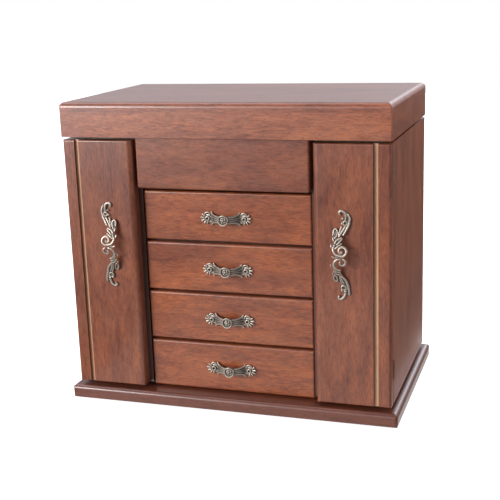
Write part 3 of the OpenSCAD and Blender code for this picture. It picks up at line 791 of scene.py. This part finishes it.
def pull_strap(cast, side):
    """The reeded half of the strap, from a rosette to the medallion."""
    x = side * PULL_HALF
    for tip, high, low in ((6.3, 4.3, 2.7), (-6.0, -4.2, -2.7)):
        path = [(x - side * 3.9, tip), (x - side * 5.6, high), (x - side * 9.0, low * 1.12),
                (side * 4.5, low), (side * 1.0, low)]
        cast.stroke(path, 1.7, 1.6, (0.8, 0.8), deep=0.95)
    for high, low in ((1.5, 0.95), (-1.5, -0.95)):
        path = [(x - side * 3.2, high), (x - side * 9.0, low), (side * 1.0, low)]
        cast.stroke(path, 1.15, 1.5, (0.8, 0.9), deep=0.95)
    for up in (-2.4, 0, 2.4):
        cast.stroke([(x - side * 3.0, up * 1.25), (side * 1.0, up * 0.8)], 2.8, 0.8, (1, 1),
                    deep=0.3)


def pull_medallion(cast):
    """The round boss in the middle: a rim about a small plain flower."""
    cast.lathe((0, 0), [(0, 1.0), (4.9, 1.0), (5.1, 1.6), (4.6, 2.2), (0, 2.4)])
    cast.ring((0, 0), 4.6, 0.68, 3.0)
    for k in range(5):
        a = math.radians(90 + 72 * k)
        b = a + math.radians(34)
        path = [(0.6 * math.cos(a), 0.6 * math.sin(a)), (2.1 * math.cos(a), 2.1 * math.sin(a)),
                (2.9 * math.cos(b), 2.9 * math.sin(b))]
        cast.stroke(path, 1.25, 2.5, (0.9, 0.55), deep=0.8)
    cast.bead((0, 0), 0.95, 2.9)


def place_pulls():
    """One bow pull on each drawer."""
    cast = Casting()
    for side in (-1, 1):
        pull_rosette(cast, side)
        pull_strap(cast, side)
    pull_medallion(cast)
    model = cast.fuse("bow_pull", 0.17, pull_bow, faces=24000)
    for k in DRAWERS:
        low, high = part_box(f"drawer_{k}_pull")
        move = Matrix.Translation(((low.x + high.x) / 2, high.y, (low.z + high.z) / 2))
        pull = copy_of(model, f"drawer_{k}_bow_pull", move)
        place(pull, f"drawer_{k}", "antique_metal", ANTIQUE, f"drawer_{k}_pull")
    bpy.data.objects.remove(model)


# -------------------------------------------------------------------- screws


def screw_head(radius, height):
    """A domed head with a straight slot, about the origin, facing -y."""
    rings, sides = 5, 24
    slot_half, slot_floor = radius * 0.17, height * 0.45
    verts = []
    for i in range(rings + 1):
        a = math.pi / 2 * i / rings
        r = radius * math.cos(a) if i < rings else radius * 0.02
        for j in range(sides):
            b = 2 * math.pi * j / sides
            x, z = r * math.cos(b), r * math.sin(b)
            lift = height * math.sin(a)
            if abs(z) < slot_half:
                lift = min(lift, slot_floor)
            verts.append((x, -lift, z))
    faces = hoops(rings + 1, sides)
    faces.append(tuple(range(rings * sides, (rings + 1) * sides)))
    faces.append(tuple(range(sides))[::-1])
    return new_object("screw", verts, faces, smooth=False)


def screws(name, spots, facing, radius, height, body, slot, material):
    """Screw heads at points, all facing one way, as one piece."""
    turn = Vector((0, -1, 0)).rotation_difference(Vector(facing)).to_matrix().to_4x4()
    heads = []
    for i, spot in enumerate(spots):
        head = screw_head(radius, height)
        twist = Matrix.Rotation(0.7 + 1.9 * i, 4, "Y")
        head.data.transform(Matrix.Translation(spot) @ turn @ twist)
        heads.append(head)
    return place(tidy_mesh(joined(name, heads)), body, slot, material)


def hinge_screws():
    """Three screws in each leaf of the lid hinges, on the back of the chest."""
    low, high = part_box("lid_hinge_body_leaves")
    lid_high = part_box("lid_hinge_lid_leaves")[1]
    axis_z = next(j for j in frame["joints"] if j["name"] == "lid_hinge")["pos_m"][2]
    leaf_t = 1.2 * MM
    hinge_w = 36 * MM
    row_at = 0.62
    for body, edge, back, name in (
        ("carcass", low.z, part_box("back_panel")[1].y, "body"),
        ("lid", lid_high.z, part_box("lid_back_rail")[1].y, "lid"),
    ):
        z = axis_z + (edge - axis_z) * row_at
        spots = []
        for middle in (low.x + hinge_w / 2, high.x - hinge_w / 2):
            spots += [(middle + dx * MM, back + leaf_t, z) for dx in (-12, 0, 12)]
        screws(f"lid_hinge_screws_{name}", spots, (0, 1, 0), 2.1 * MM, 0.9 * MM, body,
               "hinge_brass", BRASS)


# -------------------------------------------------------------------- velvet


def drawer_linings():
    """A crowned velvet pad on each drawer's floor, with lined walls round it."""
    for k in DRAWERS:
        node = f"drawer_{k}_lining"
        low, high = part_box(node)
        pad_top = low.z + 5 * MM
        wall = 1.0 * MM
        gap = 0.1 * MM
        pad = soft_box(f"drawer_{k}_pad", (low.x + 0.8 * MM, low.y + 0.8 * MM, low.z),
                       (high.x - 0.8 * MM, high.y - 0.8 * MM, pad_top), 2.2 * MM, 4 * MM,
                       crown=(0.4 * MM, 0.4 * MM, 1.6 * MM), ripple=0.25 * MM, seed=k)
        bottom = pad_top + gap
        walls = []
        spans = [
            ((low.x, low.y), (high.x, low.y + wall)),
            ((low.x, high.y - wall), (high.x, high.y)),
            ((low.x, low.y + wall + gap), (low.x + wall, high.y - wall - gap)),
            ((high.x - wall, low.y + wall + gap), (high.x, high.y - wall - gap)),
        ]
        for i, (a, b) in enumerate(spans):
            walls.append(soft_box("wall", (*a, bottom), (*b, high.z), 0.45 * MM, 5 * MM,
                                  ripple=0.08 * MM, seed=10 * k + i))
        lining = joined(f"drawer_{k}_wall_lining", walls)
        place(pad, f"drawer_{k}", "velvet", VELVET, node)
        place(lining, f"drawer_{k}", "velvet", VELVET)


def ring_roll(name, x0, x1, middle_y, base_z, radius, height, seed):
    """One foam roll under velvet: straight sides, a round top and rounded ends."""
    foot = radius * 0.96
    rounding = 2.4 * MM
    crest = [(radius * math.cos(a), height - radius + radius * math.sin(a))
             for a in np.linspace(0, math.pi, 15)]
    outline = [(foot, 0)] + crest + [(-foot, 0)]
    stations = face_grid(x0, x1, 3 * MM, rounding)
    verts, n = [], len(outline)
    for x in stations:
        inset = min(x - x0, x1 - x) / rounding
        shrink = 1 - 0.22 * (1 - math.sqrt(max(0, 1 - (1 - min(1, inset)) ** 2)))
        for y, z in outline:
            wave = noise.noise(Vector((x * 60, seed * 3.7, z * 120))) * 0.28 * MM
            verts.append((x, middle_y + y * shrink + (wave if y > 0 else -wave) * 0.6,
                          base_z + z * (1 - (1 - shrink) * 0.35) + min(0, wave)))
    faces = hoops(len(stations), n)
    faces.append(tuple(range(n)))
    faces.append(tuple(range((len(stations) - 1) * n, len(stations) * n))[::-1])
    return tidy_mesh(new_object(name, verts, faces))


def ring_rolls():
    """Nine rolls side by side, with slits between them for rings."""
    low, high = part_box("ring_rolls")
    radius = 7.3 * MM
    count = 9
    pitch = (high.y - low.y - 2 * radius) / (count - 1)
    rolls = [ring_roll("roll", low.x, high.x, low.y + radius + i * pitch, low.z, radius,
                       high.z - low.z, i) for i in range(count)]
    piece = joined("ring_roll_velvet", rolls)
    place(piece, "carcass", "velvet", VELVET, "ring_rolls")


def tray_lining():
    """Lined walls and dividers of the tray, and the pad on each cell's floor."""
    low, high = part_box("tray_liner")
    wall = 3 * MM
    gap = 0.1 * MM
    divider_top = low.z + 34 * MM
    divider_x = 52.5 * MM
    middle_y = (low.y + high.y) / 2
    cell_low, cell_high = low.y + wall + gap, high.y - wall - gap
    third = (cell_high - cell_low) / 3
    strips = []

    def strip(a, b, seed):
        strips.append(soft_box("strip", a, b, 1.2 * MM, 5 * MM, ripple=0.1 * MM, seed=seed))

    for i, sign in enumerate((-1, 1)):
        outer = sorted((sign * high.x, sign * (high.x - wall)))
        strip((outer[0], low.y, low.z), (outer[1], high.y, high.z), i)
        inner = sorted((sign * divider_x, sign * (divider_x + wall)))
        strip((inner[0], cell_low, low.z), (inner[1], cell_high, divider_top), 3 + i)
    for i, y in enumerate((low.y, high.y - wall)):
        strip((low.x + wall + gap, y, low.z), (high.x - wall - gap, y + wall, high.z), 6 + i)
    strip((-divider_x + gap, middle_y, low.z), (divider_x - gap, middle_y + wall, divider_top), 9)
    for t in (1, 2):
        y = cell_low + t * third
        strip((divider_x + wall + gap, y, low.z), (high.x - wall - gap, y + wall, divider_top),
              10 + t)
    walls = joined("tray_wall_lining", strips)
    place(walls, "carcass", "velvet", VELVET, "tray_liner")

    pads = []
    pad_t = 2.5 * MM
    edge = 0.3 * MM
    cells = [(-divider_x, cell_low, divider_x, middle_y),
             (-divider_x, middle_y + wall, divider_x, cell_high)]
    for t in range(3):
        y = cell_low + t * third + (wall if t else 0)
        cells.append((divider_x + wall, y, high.x - wall, cell_low + (t + 1) * third))
    for i, (x0, y0, x1, y1) in enumerate(cells):
        pads.append(soft_box("pad", (x0 + edge, y0 + edge, low.z),
                             (x1 - edge, y1 - edge, low.z + pad_t), 1.1 * MM, 4 * MM,
                             crown=(0, 0, 0.9 * MM), ripple=0.15 * MM, seed=20 + i))
    floor_pads = joined("tray_floor_pads", pads)
    place(floor_pads, "carcass", "velvet", VELVET)


def compartment_linings():
    """Velvet on card on the walls of the two necklace compartments."""
    low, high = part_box("compartment_linings")
    inner_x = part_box("right_partition")[1].x + 0.1 * MM
    skin = 1.5 * MM
    gap = 0.1 * MM
    panels, area = [], 0.0
    for sign in (-1, 1):
        x0, x1 = inner_x, high.x
        y0, y1, z0, z1 = low.y, high.y, low.z, high.z
        inside = (z0 + skin + gap, z1 - skin - gap)
        boxes = [
            ((x0, y0, z0), (x1, y1, z0 + skin)),
            ((x0, y0, z1 - skin), (x1, y1, z1)),
            ((x0, y1 - skin, inside[0]), (x1, y1, inside[1])),
            ((x0, y0, inside[0]), (x0 + skin, y1 - skin - gap, inside[1])),
            ((x1 - skin, y0, inside[0]), (x1, y1 - skin - gap, inside[1])),
        ]
        for i, (a, b) in enumerate(boxes):
            xs = sorted((sign * a[0], sign * b[0]))
            panels.append(soft_box("panel", (xs[0], a[1], a[2]), (xs[1], b[1], b[2]),
                                   0.6 * MM, 7 * MM, ripple=0.12 * MM, seed=30 + i))
            size = sorted(abs(q - p) for p, q in zip(a, b))
            area += size[1] * size[2]
    piece = joined("compartment_velvet", panels)
    place(piece, "carcass", "velvet", VELVET, "compartment_linings")


def mirror_padding():
    """A padded velvet frame that holds the mirror under the lid's top panel."""
    low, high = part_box("mirror_surround")
    mirror_low, mirror_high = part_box("lid_mirror")
    lip = 3 * MM
    inner = (mirror_low.x + lip, mirror_low.y + lip, mirror_high.x - lip, mirror_high.y - lip)
    outer = (low.x, low.y, high.x, high.y)
    under = mirror_low.z - 0.1 * MM

    def loop(box, count=(64, 32)):
        x0, y0, x1, y1 = box
        points = []
        corners = [(x0, y0), (x1, y0), (x1, y1), (x0, y1)]
        for i, (a, b) in enumerate(zip(corners, corners[1:] + corners[:1])):
            for t in np.linspace(0, 1, count[i % 2], endpoint=False):
                points.append((a[0] + (b[0] - a[0]) * t, a[1] + (b[1] - a[1]) * t))
        return np.array(points)

    inside, outside = loop(inner), loop(outer)
    rows = [(0.0, under), (0.0, under - 0.5 * MM)]
    depth = under - low.z
    for share in (0.02, 0.06, 0.12, 0.2, 0.35, 0.5, 0.65, 0.8, 0.9, 0.96, 0.99, 1.0):
        crown = math.sqrt(max(0.0, 1 - (2 * share - 1) ** 2)) ** 0.7
        rows.append((share, under - 0.5 * MM - (depth - 0.5 * MM) * crown))
    rows.append((1.0, high.z))
    verts, n = [], len(inside)
    for share, z in rows:
        for p, q in zip(inside, outside):
            x, y = p + (q - p) * share
            wave = noise.noise(Vector((x * 70, y * 70, 4.0))) * 0.25 * MM
            verts.append((x, y, min(high.z, max(low.z, z + wave * (0.1 < share < 0.95)))))
    shelf = loop((mirror_low.x - 0.3 * MM, mirror_low.y - 0.3 * MM,
                  mirror_high.x + 0.3 * MM, mirror_high.y + 0.3 * MM))
    verts += [(x, y, z) for z in (high.z, under) for x, y in shelf]
    faces = hoops(len(rows) + 2, n)
    last = len(verts) - n
    faces += [(last + i, last + (i + 1) % n, (i + 1) % n, i) for i in range(n)]
    piece = tidy_mesh(new_object("mirror_padding", verts, faces))
    place(piece, "lid", "velvet", VELVET, "mirror_surround")


def door_pockets():
    """A gathered velvet pocket low on the inside of each door."""
    for side in SIDES:
        node = side + "_velvet_pocket"
        low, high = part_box(node)
        width, height, depth = high.x - low.x, high.z - low.z, high.y - low.y
        columns, rows, pleats = 120, 60, 11
        random.seed(7)
        folds = [random.uniform(0.75, 1.25) for _ in range(14)]
        verts = []
        for j in range(rows + 1):
            v = j / rows
            sag = 0.30 + 0.70 * math.sin(math.pi * min(1, v * 1.02) ** 0.8) ** 0.7
            for i in range(columns + 1):
                u = i / columns
                place_in = u * (len(folds) - 1)
                k = min(int(place_in), len(folds) - 2)
                t = place_in - k
                size = folds[k] * (1 - t) + folds[k + 1] * t
                phase = u * 2 * math.pi * pleats + 1.2 * math.sin(v * 3 + folds[k] * 5)
                gather = (0.25 + 0.75 * abs(2 * v - 1) ** 1.5) * size
                belly = math.sin(math.pi * u) ** 0.45
                y = low.y + depth * (0.08 + 0.72 * belly * sag)
                y += 1.25 * MM * gather * math.sin(phase) * belly
                x = low.x + width * u + 0.5 * MM * gather * math.cos(phase) * belly
                z = low.z + height * (0.02 + 0.93 * v)
                verts.append((min(high.x, max(low.x, x)), min(high.y, max(low.y, y)), z))
        pocket = new_object(side + "_door_pocket", verts, quads(rows + 1, columns + 1))
        shell = pocket.modifiers.new("thickness", "SOLIDIFY")
        shell.thickness = 0.9 * MM
        shell.offset = -1
        place(pocket, side + "_door", "velvet", VELVET, node)
        pocket_hem(side, verts[-(columns + 1):], low, high)


def pocket_hem(side, edge, low, high):
    """The ruffled elastic casing along a pocket's mouth."""
    cast = Casting()
    line = [Vector(p) / MM for p in edge[::2]]
    radii = [1.15 + 0.25 * math.sin(i * 1.9) for i in range(len(line))]
    cast.tube([(p.x, p.y, p.z) for p in line], radii, deep=1.2, sides=12)
    hem = new_object(side + "_pocket_hem", np.array(cast.verts) * MM, cast.faces)
    for v in hem.data.vertices:
        v.co.y = min(high.y, max(low.y, v.co.y))
        v.co.z = min(high.z, v.co.z)
    place(tidy_mesh(hem), side + "_door", "velvet", VELVET)


def base_felt():
    """The felt sheet under the base, cut a little unevenly."""
    low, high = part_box("base_felt")
    felt = soft_box("felt_underlay", low, high, 0.35 * MM, 6 * MM, ripple=0.05 * MM, seed=3)
    place(felt, "carcass", "felt", FELT, "base_felt")


# --------------------------------------------------------------------- stage


def camera():
    """The camera, at the photograph's angle and distance."""
    azimuth, elevation, roll = (math.radians(a) for a in (18.363, 14.198, -1.916))
    forward = Vector((-math.sin(azimuth) * math.cos(elevation),
                      math.cos(azimuth) * math.cos(elevation), -math.sin(elevation)))
    level = forward.cross(Vector((0, 0, 1))).normalized()
    upright = level.cross(forward)
    right = math.cos(roll) * level + math.sin(roll) * upright
    up = right.cross(forward)
    data = bpy.data.cameras.new("camera")
    data.lens, data.sensor_width = 73.118, 36
    data.clip_start, data.clip_end = 0.05, 60
    cam = bpy.data.objects.new("camera", data)
    turn = Matrix((right, up, -forward)).transposed().to_4x4()
    cam.matrix_world = Matrix.Translation((0.31643, -0.96839, 0.39616)) @ turn
    bpy.context.scene.collection.objects.link(cam)
    bpy.context.scene.camera = cam


def area_light(name, place_at, target, width, height, power, colour=(1, 1, 1)):
    data = bpy.data.lights.new(name, "AREA")
    data.shape = "RECTANGLE"
    data.size, data.size_y = width, height
    data.energy, data.color = power, colour
    light = bpy.data.objects.new(name, data)
    light.location = place_at
    light.rotation_mode = "QUATERNION"
    aim = Vector(target) - Vector(place_at)
    light.rotation_quaternion = aim.to_track_quat("-Z", "Y")
    bpy.context.scene.collection.objects.link(light)
    return light


def room_light(s):
    """The room that the lacquer mirrors: grey walls, and windows and lamps round the chest."""
    direction = s.new("TexCoord").outputs["Generated"]
    split = s.new("SeparateXYZ")
    s.link(direction, split.inputs[0])
    height = s.math("MULTIPLY_ADD", split.outputs["Z"], 0.5, 0.5)
    room = s.ramp(height, *[((z + 1) / 2, [bright * tint for tint in ROOM_TINT])
                            for z, bright in ROOM_BY_HEIGHT])
    for towards, power, by_angle in WINDOWS:
        dot = s.new("VectorMath")
        dot.operation = "DOT_PRODUCT"
        s.link(direction, dot.inputs[0])
        dot.inputs[1].default_value = Vector(towards).normalized()
        window = s.ramp(dot.outputs["Value"], *[(at, [share * power * tint for tint in SKY_TINT])
                                                for at, share in by_angle])
        room = s.mix(1.0, room, window, "ADD")
    return room


ROOM_TINT = (1, 0.99, 1.06)
SKY_TINT = (0.93, 1, 1.1)
# How bright the room is by the height of the direction; then each window's direction, power
# and how it fades by the cosine of the angle from its middle
ROOM_BY_HEIGHT = [(-1, 0.16), (-0.5, 0.14), (-0.3, 0.07), (-0.12, 0.12), (0.02, 0.52),
                  (0.1, 0.72), (0.30, 0.58), (0.60, 0.18)]
WINDOWS = [
    ((-0.66, -0.74, 0.10), 3.7,
     [(0.72, 0.0), (0.80, 0.16), (0.885, 0.24), (0.925, 0.75), (0.965, 1.0)]),
    ((0.95, 0.02, -0.12), 2.3, [(0.83, 0.0), (0.94, 1.0)]),
    ((-0.38, 0.42, 0.82), 1.3, [(0.90, 0.0), (0.965, 1.0)]),
    ((-0.41, -0.02, 0.91), 2.6, [(0.93, 0.0), (0.98, 1.0)]),
    ((0.12, 0.88, 0.45), 3.0, [(0.955, 0.0), (0.985, 1.0)]),
]


def studio():
    """A white world to the camera, the room to the lacquer, and three large soft lights."""
    scene = bpy.context.scene
    scene.view_settings.view_transform = "Standard"
    world = bpy.data.worlds.new("studio")
    scene.world = world
    world.use_nodes = True
    s = Nodes(world.node_tree)
    white, room, seen = s.new("Background"), s.new("Background"), s.new("MixShader")
    s.fill(white.inputs["Color"], (1, 1, 1))
    s.link(room_light(s), room.inputs["Color"])
    s.link(s.new("LightPath").outputs["Is Camera Ray"], seen.inputs["Fac"])
    s.link(room.outputs[0], seen.inputs[1])
    s.link(white.outputs[0], seen.inputs[2])
    s.link(seen.outputs[0], s.new("OutputWorld").inputs["Surface"])

    middle = (0, 0, 0.15)
    area_light("key", (-1.15, -1.55, 0.62), middle, 0.6, 0.6, 27, (1.0, 0.98, 0.95))
    area_light("back", (0.75, 1.7, 0.75), middle, 1.1, 0.7, 18).visible_glossy = False
    area_light("fill", (1.9, 0.3, 0.8), middle, 1.2, 1.2, 16).visible_glossy = False


def floor():
    """A pale floor that takes a soft shadow; the lacquer mirrors only what lies near the chest,
    where the floor glows for reflected rays as a painted reflection.
    """
    size, count = 6.0, 24
    glow_x, glow_y = 0.18, 0.60
    verts = [(size * (i / count - 0.5), size * (j / count - 0.5), 0)
             for i in range(count + 1) for j in range(count + 1)]
    n = count + 1
    faces = [face[::-1] for face in quads(n, n)]
    plane = new_object("floor", verts, faces)
    s = Shader("pale_floor")
    grain = s.noise(even(4 * MM), 2.0)
    split = s.new("SeparateXYZ")
    s.link(s.place, split.inputs[0])
    aside = s.math("ABSOLUTE", s.math("DIVIDE", split.outputs["X"], glow_x))
    before = s.math("ABSOLUTE", s.math("DIVIDE", split.outputs["Y"], glow_y))
    # painted reflection: near the chest the floor glows for reflected rays only, brightening the
    # base's sides in the lacquer
    glow = s.ramp(s.math("MAXIMUM", aside, before), (0.0, 0.8), (0.955, 0.8), (0.985, 0.07))
    seen = s.new("LightPath").outputs["Is Camera Ray"]
    pale = s.ramp(grain, (0.3, (0.86, 0.86, 0.86)), (0.7, (0.88, 0.88, 0.88)))
    s.set(Base_Color=s.mix(seen, (0, 0, 0), pale), Roughness=0.9, Specular_IOR_Level=0.0,
          Emission_Color=s.mix(seen, glow, (0.62, 0.62, 0.62)), Emission_Strength=1.0)
    plane.data.materials.append(s.material)
    plane.visible_diffuse = False


camera()
studio()
floor()
dress_boards()
dress_metal()
place_scroll_handles()
place_pulls()
hinge_screws()
drawer_linings()
ring_rolls()
tray_lining()
compartment_linings()
mirror_padding()
door_pockets()
base_felt()
